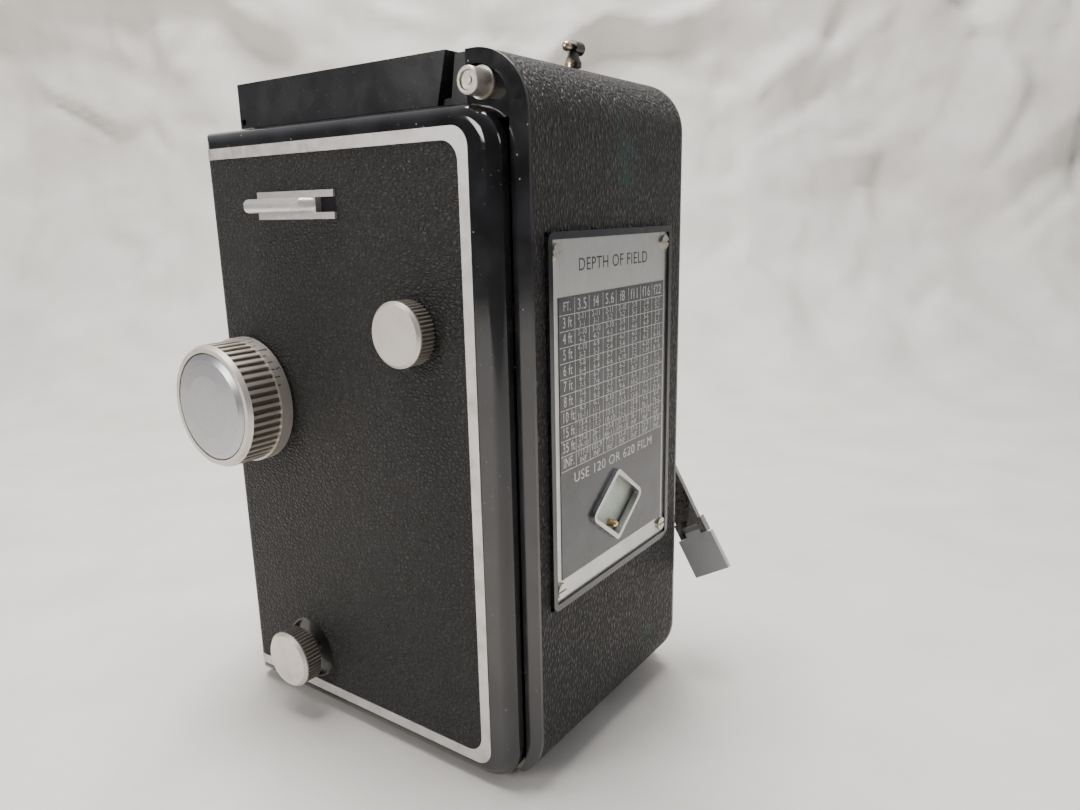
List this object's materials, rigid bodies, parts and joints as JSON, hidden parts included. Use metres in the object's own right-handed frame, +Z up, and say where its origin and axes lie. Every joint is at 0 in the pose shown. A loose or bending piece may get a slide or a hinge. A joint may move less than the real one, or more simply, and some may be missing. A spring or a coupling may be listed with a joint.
{
  "type": "twin lens reflex camera",
  "caption": "Box-shaped twin lens reflex roll-film camera with side knobs, winding crank, folding finder hood and a hinged back carrying a focus table.",
  "frame": {"origin": "centre of the tripod socket's mouth, in the plane of the feet", "axes": "+Z up, the lenses face -Y and the film back faces +Y, the side with the round knobs faces +X"},
  "size_m": [0.0941, 0.1287, 0.1647],
  "materials": {
    "black_enamel": "gloss",
    "leather": "grained",
    "aluminium_line": "satin",
    "satin_aluminium": "satin",
    "table_aluminium": "satin",
    "table_print": "satin",
    "nickel": "polished",
    "steel": "brushed",
    "brass": "satin",
    "window_plate": "satin",
    "red_glass": "clear",
    "lens_glass": "clear",
    "ground_screen": "frosted",
    "mirror": "polished"
  },
  "bodies": {
    "case": {"main_casting": "black_enamel", "trim_band": "aluminium_line", "case_leather": "leather", "tripod_bush": "nickel", "base_feet": "nickel", "hinge_leaf": "steel", "flash_post": "nickel", "strap_lugs": "nickel", "lower_knob_cup": "black_enamel", "shaft_bushes": "brass", "dark_box": "black_enamel", "reflex_mirror": "mirror", "mirror_bracket": "black_enamel", "ground_glass": "ground_screen", "hood_base": "black_enamel", "hood_rear_strip": "black_enamel"},
    "back": {"back_shell": "black_enamel", "back_leather": "leather", "red_window": "red_glass", "table_surround": "black_enamel", "table_plate": "table_aluminium", "table_print": "table_print", "table_screws": "steel", "pressure_spring": "steel"},
    "window_shutter": {"window_shutter": "window_plate", "window_pin": "brass"},
    "pressure_plate": {"pressure_plate": "black_enamel"},
    "roof_catch": {"roof_catch": "nickel"},
    "upper_spindle": {"upper_spindle_sleeve": "steel"},
    "upper_knob": {"upper_knob": "satin_aluminium"},
    "lower_spindle": {"lower_spindle_sleeve": "steel"},
    "lower_knob": {"lower_knob": "satin_aluminium"},
    "focus_knob": {"focus_knob_grip": "satin_aluminium", "focus_knob_disc": "satin_aluminium", "focus_shaft": "steel"},
    "lens_panel": {"lens_panel": "black_enamel", "viewing_barrel": "satin_aluminium", "viewing_lens": "lens_glass", "shutter_housing": "satin_aluminium", "taking_lens": "lens_glass"},
    "speed_ring": {"speed_ring": "satin_aluminium"},
    "aperture_ring": {"aperture_ring": "satin_aluminium"},
    "cocking_lever": {"cocking_lever": "nickel"},
    "shutter_release": {"shutter_release": "nickel"},
    "lower_film_roller": {"lower_film_roller": "nickel"},
    "upper_film_roller": {"upper_film_roller": "nickel"},
    "take_up_spool": {"take_up_spool": "steel", "spool_gear": "brass"},
    "supply_spool": {"supply_spool": "steel"},
    "hood_lid": {"hood_lid": "black_enamel"},
    "hood_flap_left": {"hood_flap_left": "black_enamel"},
    "hood_flap_right": {"hood_flap_right": "black_enamel"},
    "hood_flap_rear": {"hood_flap_rear": "black_enamel"},
    "magnifier": {"magnifier_frame": "black_enamel", "magnifier_lens": "lens_glass"},
    "crank": {"crank_hub": "nickel", "crank_arm": "nickel", "crank_fasteners": "nickel"},
    "crank_handle": {"crank_handle": "nickel"},
    "counter_dial": {"counter_dial": "satin_aluminium"}
  },
  "joints": [
    {"name": "back_hinge", "type": "hinge", "parent": "case", "child": "back", "pos_m": [0, 0.0402, 0.0036], "axis": [-1, 0, 0], "range_deg": [0, 100]},
    {"name": "window_shutter_slide", "type": "slide", "parent": "back", "child": "window_shutter", "axis": [0, 0, 1], "range_m": [0, 0.0085]},
    {"name": "pressure_plate_spring", "type": "slide", "parent": "back", "child": "pressure_plate", "axis": [0, 1, 0], "range_m": [0, 0.0004], "stiffness_N_per_m": 200},
    {"name": "roof_catch_turn", "type": "hinge", "parent": "back", "child": "roof_catch", "pos_m": [0, 0.037, 0.158], "axis": [0, 0, 1], "range_deg": [0, 90]},
    {"name": "upper_knob_pull", "type": "slide", "parent": "case", "child": "upper_spindle", "axis": [1, 0, 0], "range_m": [0, 0.006]},
    {"name": "upper_knob_turn", "type": "hinge", "parent": "upper_spindle", "child": "upper_knob", "pos_m": [0.039, 0.0193, 0.104], "axis": [1, 0, 0], "continuous": true},
    {"name": "lower_knob_pull", "type": "slide", "parent": "case", "child": "lower_spindle", "axis": [1, 0, 0], "range_m": [-0.0024, 0.0036]},
    {"name": "lower_knob_turn", "type": "hinge", "parent": "lower_spindle", "child": "lower_knob", "pos_m": [0.042, -0.0245, 0.0161], "axis": [1, 0, 0], "continuous": true},
    {"name": "focus_knob_turn", "type": "hinge", "parent": "case", "child": "focus_knob", "pos_m": [0.045, -0.0381, 0.0832], "axis": [-1, 0, 0], "range_deg": [0, 270]},
    {"name": "lens_panel_slide", "type": "slide", "parent": "case", "child": "lens_panel", "axis": [0, -1, 0], "range_m": [0, 0.008]},
    {"name": "speed_ring_turn", "type": "hinge", "parent": "lens_panel", "child": "speed_ring", "pos_m": [0, -0.06, 0.058], "axis": [0, -1, 0], "range_deg": [-45, 45]},
    {"name": "aperture_ring_turn", "type": "hinge", "parent": "lens_panel", "child": "aperture_ring", "pos_m": [0, -0.062, 0.058], "axis": [0, -1, 0], "range_deg": [-45, 45]},
    {"name": "cocking_lever_turn", "type": "hinge", "parent": "lens_panel", "child": "cocking_lever", "pos_m": [0.0155, -0.053, 0.082], "axis": [0, -1, 0], "range_deg": [-25, 50]},
    {"name": "shutter_release_press", "type": "slide", "parent": "lens_panel", "child": "shutter_release", "axis": [0, 1, 0], "range_m": [0, 0.0025], "stiffness_N_per_m": 250},
    {"name": "lower_film_roller_turn", "type": "hinge", "parent": "case", "child": "lower_film_roller", "pos_m": [0, 0.036, 0.024], "axis": [1, 0, 0], "continuous": true},
    {"name": "upper_film_roller_turn", "type": "hinge", "parent": "case", "child": "upper_film_roller", "pos_m": [0, 0.036, 0.094], "axis": [1, 0, 0], "continuous": true},
    {"name": "crank_turn", "type": "hinge", "parent": "case", "child": "crank", "pos_m": [-0.041, 0.025, 0.08], "axis": [-1, 0, 0], "continuous": true},
    {"name": "take_up_spool_turn", "type": "hinge", "parent": "case", "child": "take_up_spool", "pos_m": [0, 0.0193, 0.104], "axis": [-1, 0, 0], "continuous": true},
    {"name": "counter_dial_turn", "type": "hinge", "parent": "case", "child": "counter_dial", "pos_m": [-0.0345, -0.012, 0.112], "axis": [-1, 0, 0], "continuous": true},
    {"name": "supply_spool_turn", "type": "hinge", "parent": "case", "child": "supply_spool", "pos_m": [0, -0.0245, 0.0161], "axis": [1, 0, 0], "continuous": true},
    {"name": "crank_handle_fold", "type": "hinge", "parent": "crank", "child": "crank_handle", "pos_m": [-0.04265, 0.04929, 0.0386], "axis": [0, 0.8625, 0.506], "range_deg": [0, 90]},
    {"name": "hood_lid_hinge", "type": "hinge", "parent": "case", "child": "hood_lid", "pos_m": [0, -0.0398, 0.1512], "axis": [1, 0, 0], "range_deg": [0, 90]},
    {"name": "hood_flap_left_hinge", "type": "hinge", "parent": "case", "child": "hood_flap_left", "pos_m": [0.0269, 0, 0.1521], "axis": [0, 1, 0], "range_deg": [0, 90]},
    {"name": "hood_flap_right_hinge", "type": "hinge", "parent": "case", "child": "hood_flap_right", "pos_m": [-0.0269, 0, 0.1521], "axis": [0, -1, 0], "range_deg": [0, 90]},
    {"name": "hood_flap_rear_hinge", "type": "hinge", "parent": "case", "child": "hood_flap_rear", "pos_m": [0, 0.02127, 0.1521], "axis": [-1, 0, 0], "range_deg": [0, 90]},
    {"name": "magnifier_hinge", "type": "hinge", "parent": "hood_lid", "child": "magnifier", "pos_m": [0, -0.009, 0.15746], "axis": [-1, 0, 0], "range_deg": [0, 90]}
  ],
  "couplings": [
    {"joint": "focus_knob_turn", "follows": "lens_panel_slide", "rad_per_m": 588.24},
    {"joint": "take_up_spool_turn", "follows": "crank_turn", "ratio": -1},
    {"joint": "counter_dial_turn", "follows": "crank_turn", "ratio": 0.08},
    {"joint": "hood_flap_left_hinge", "follows": "hood_lid_hinge", "ratio": 1},
    {"joint": "hood_flap_right_hinge", "follows": "hood_lid_hinge", "ratio": 1},
    {"joint": "hood_flap_rear_hinge", "follows": "hood_lid_hinge", "ratio": 1},
    {"joint": "magnifier_hinge", "follows": "hood_lid_hinge", "ratio": 1}
  ]
}
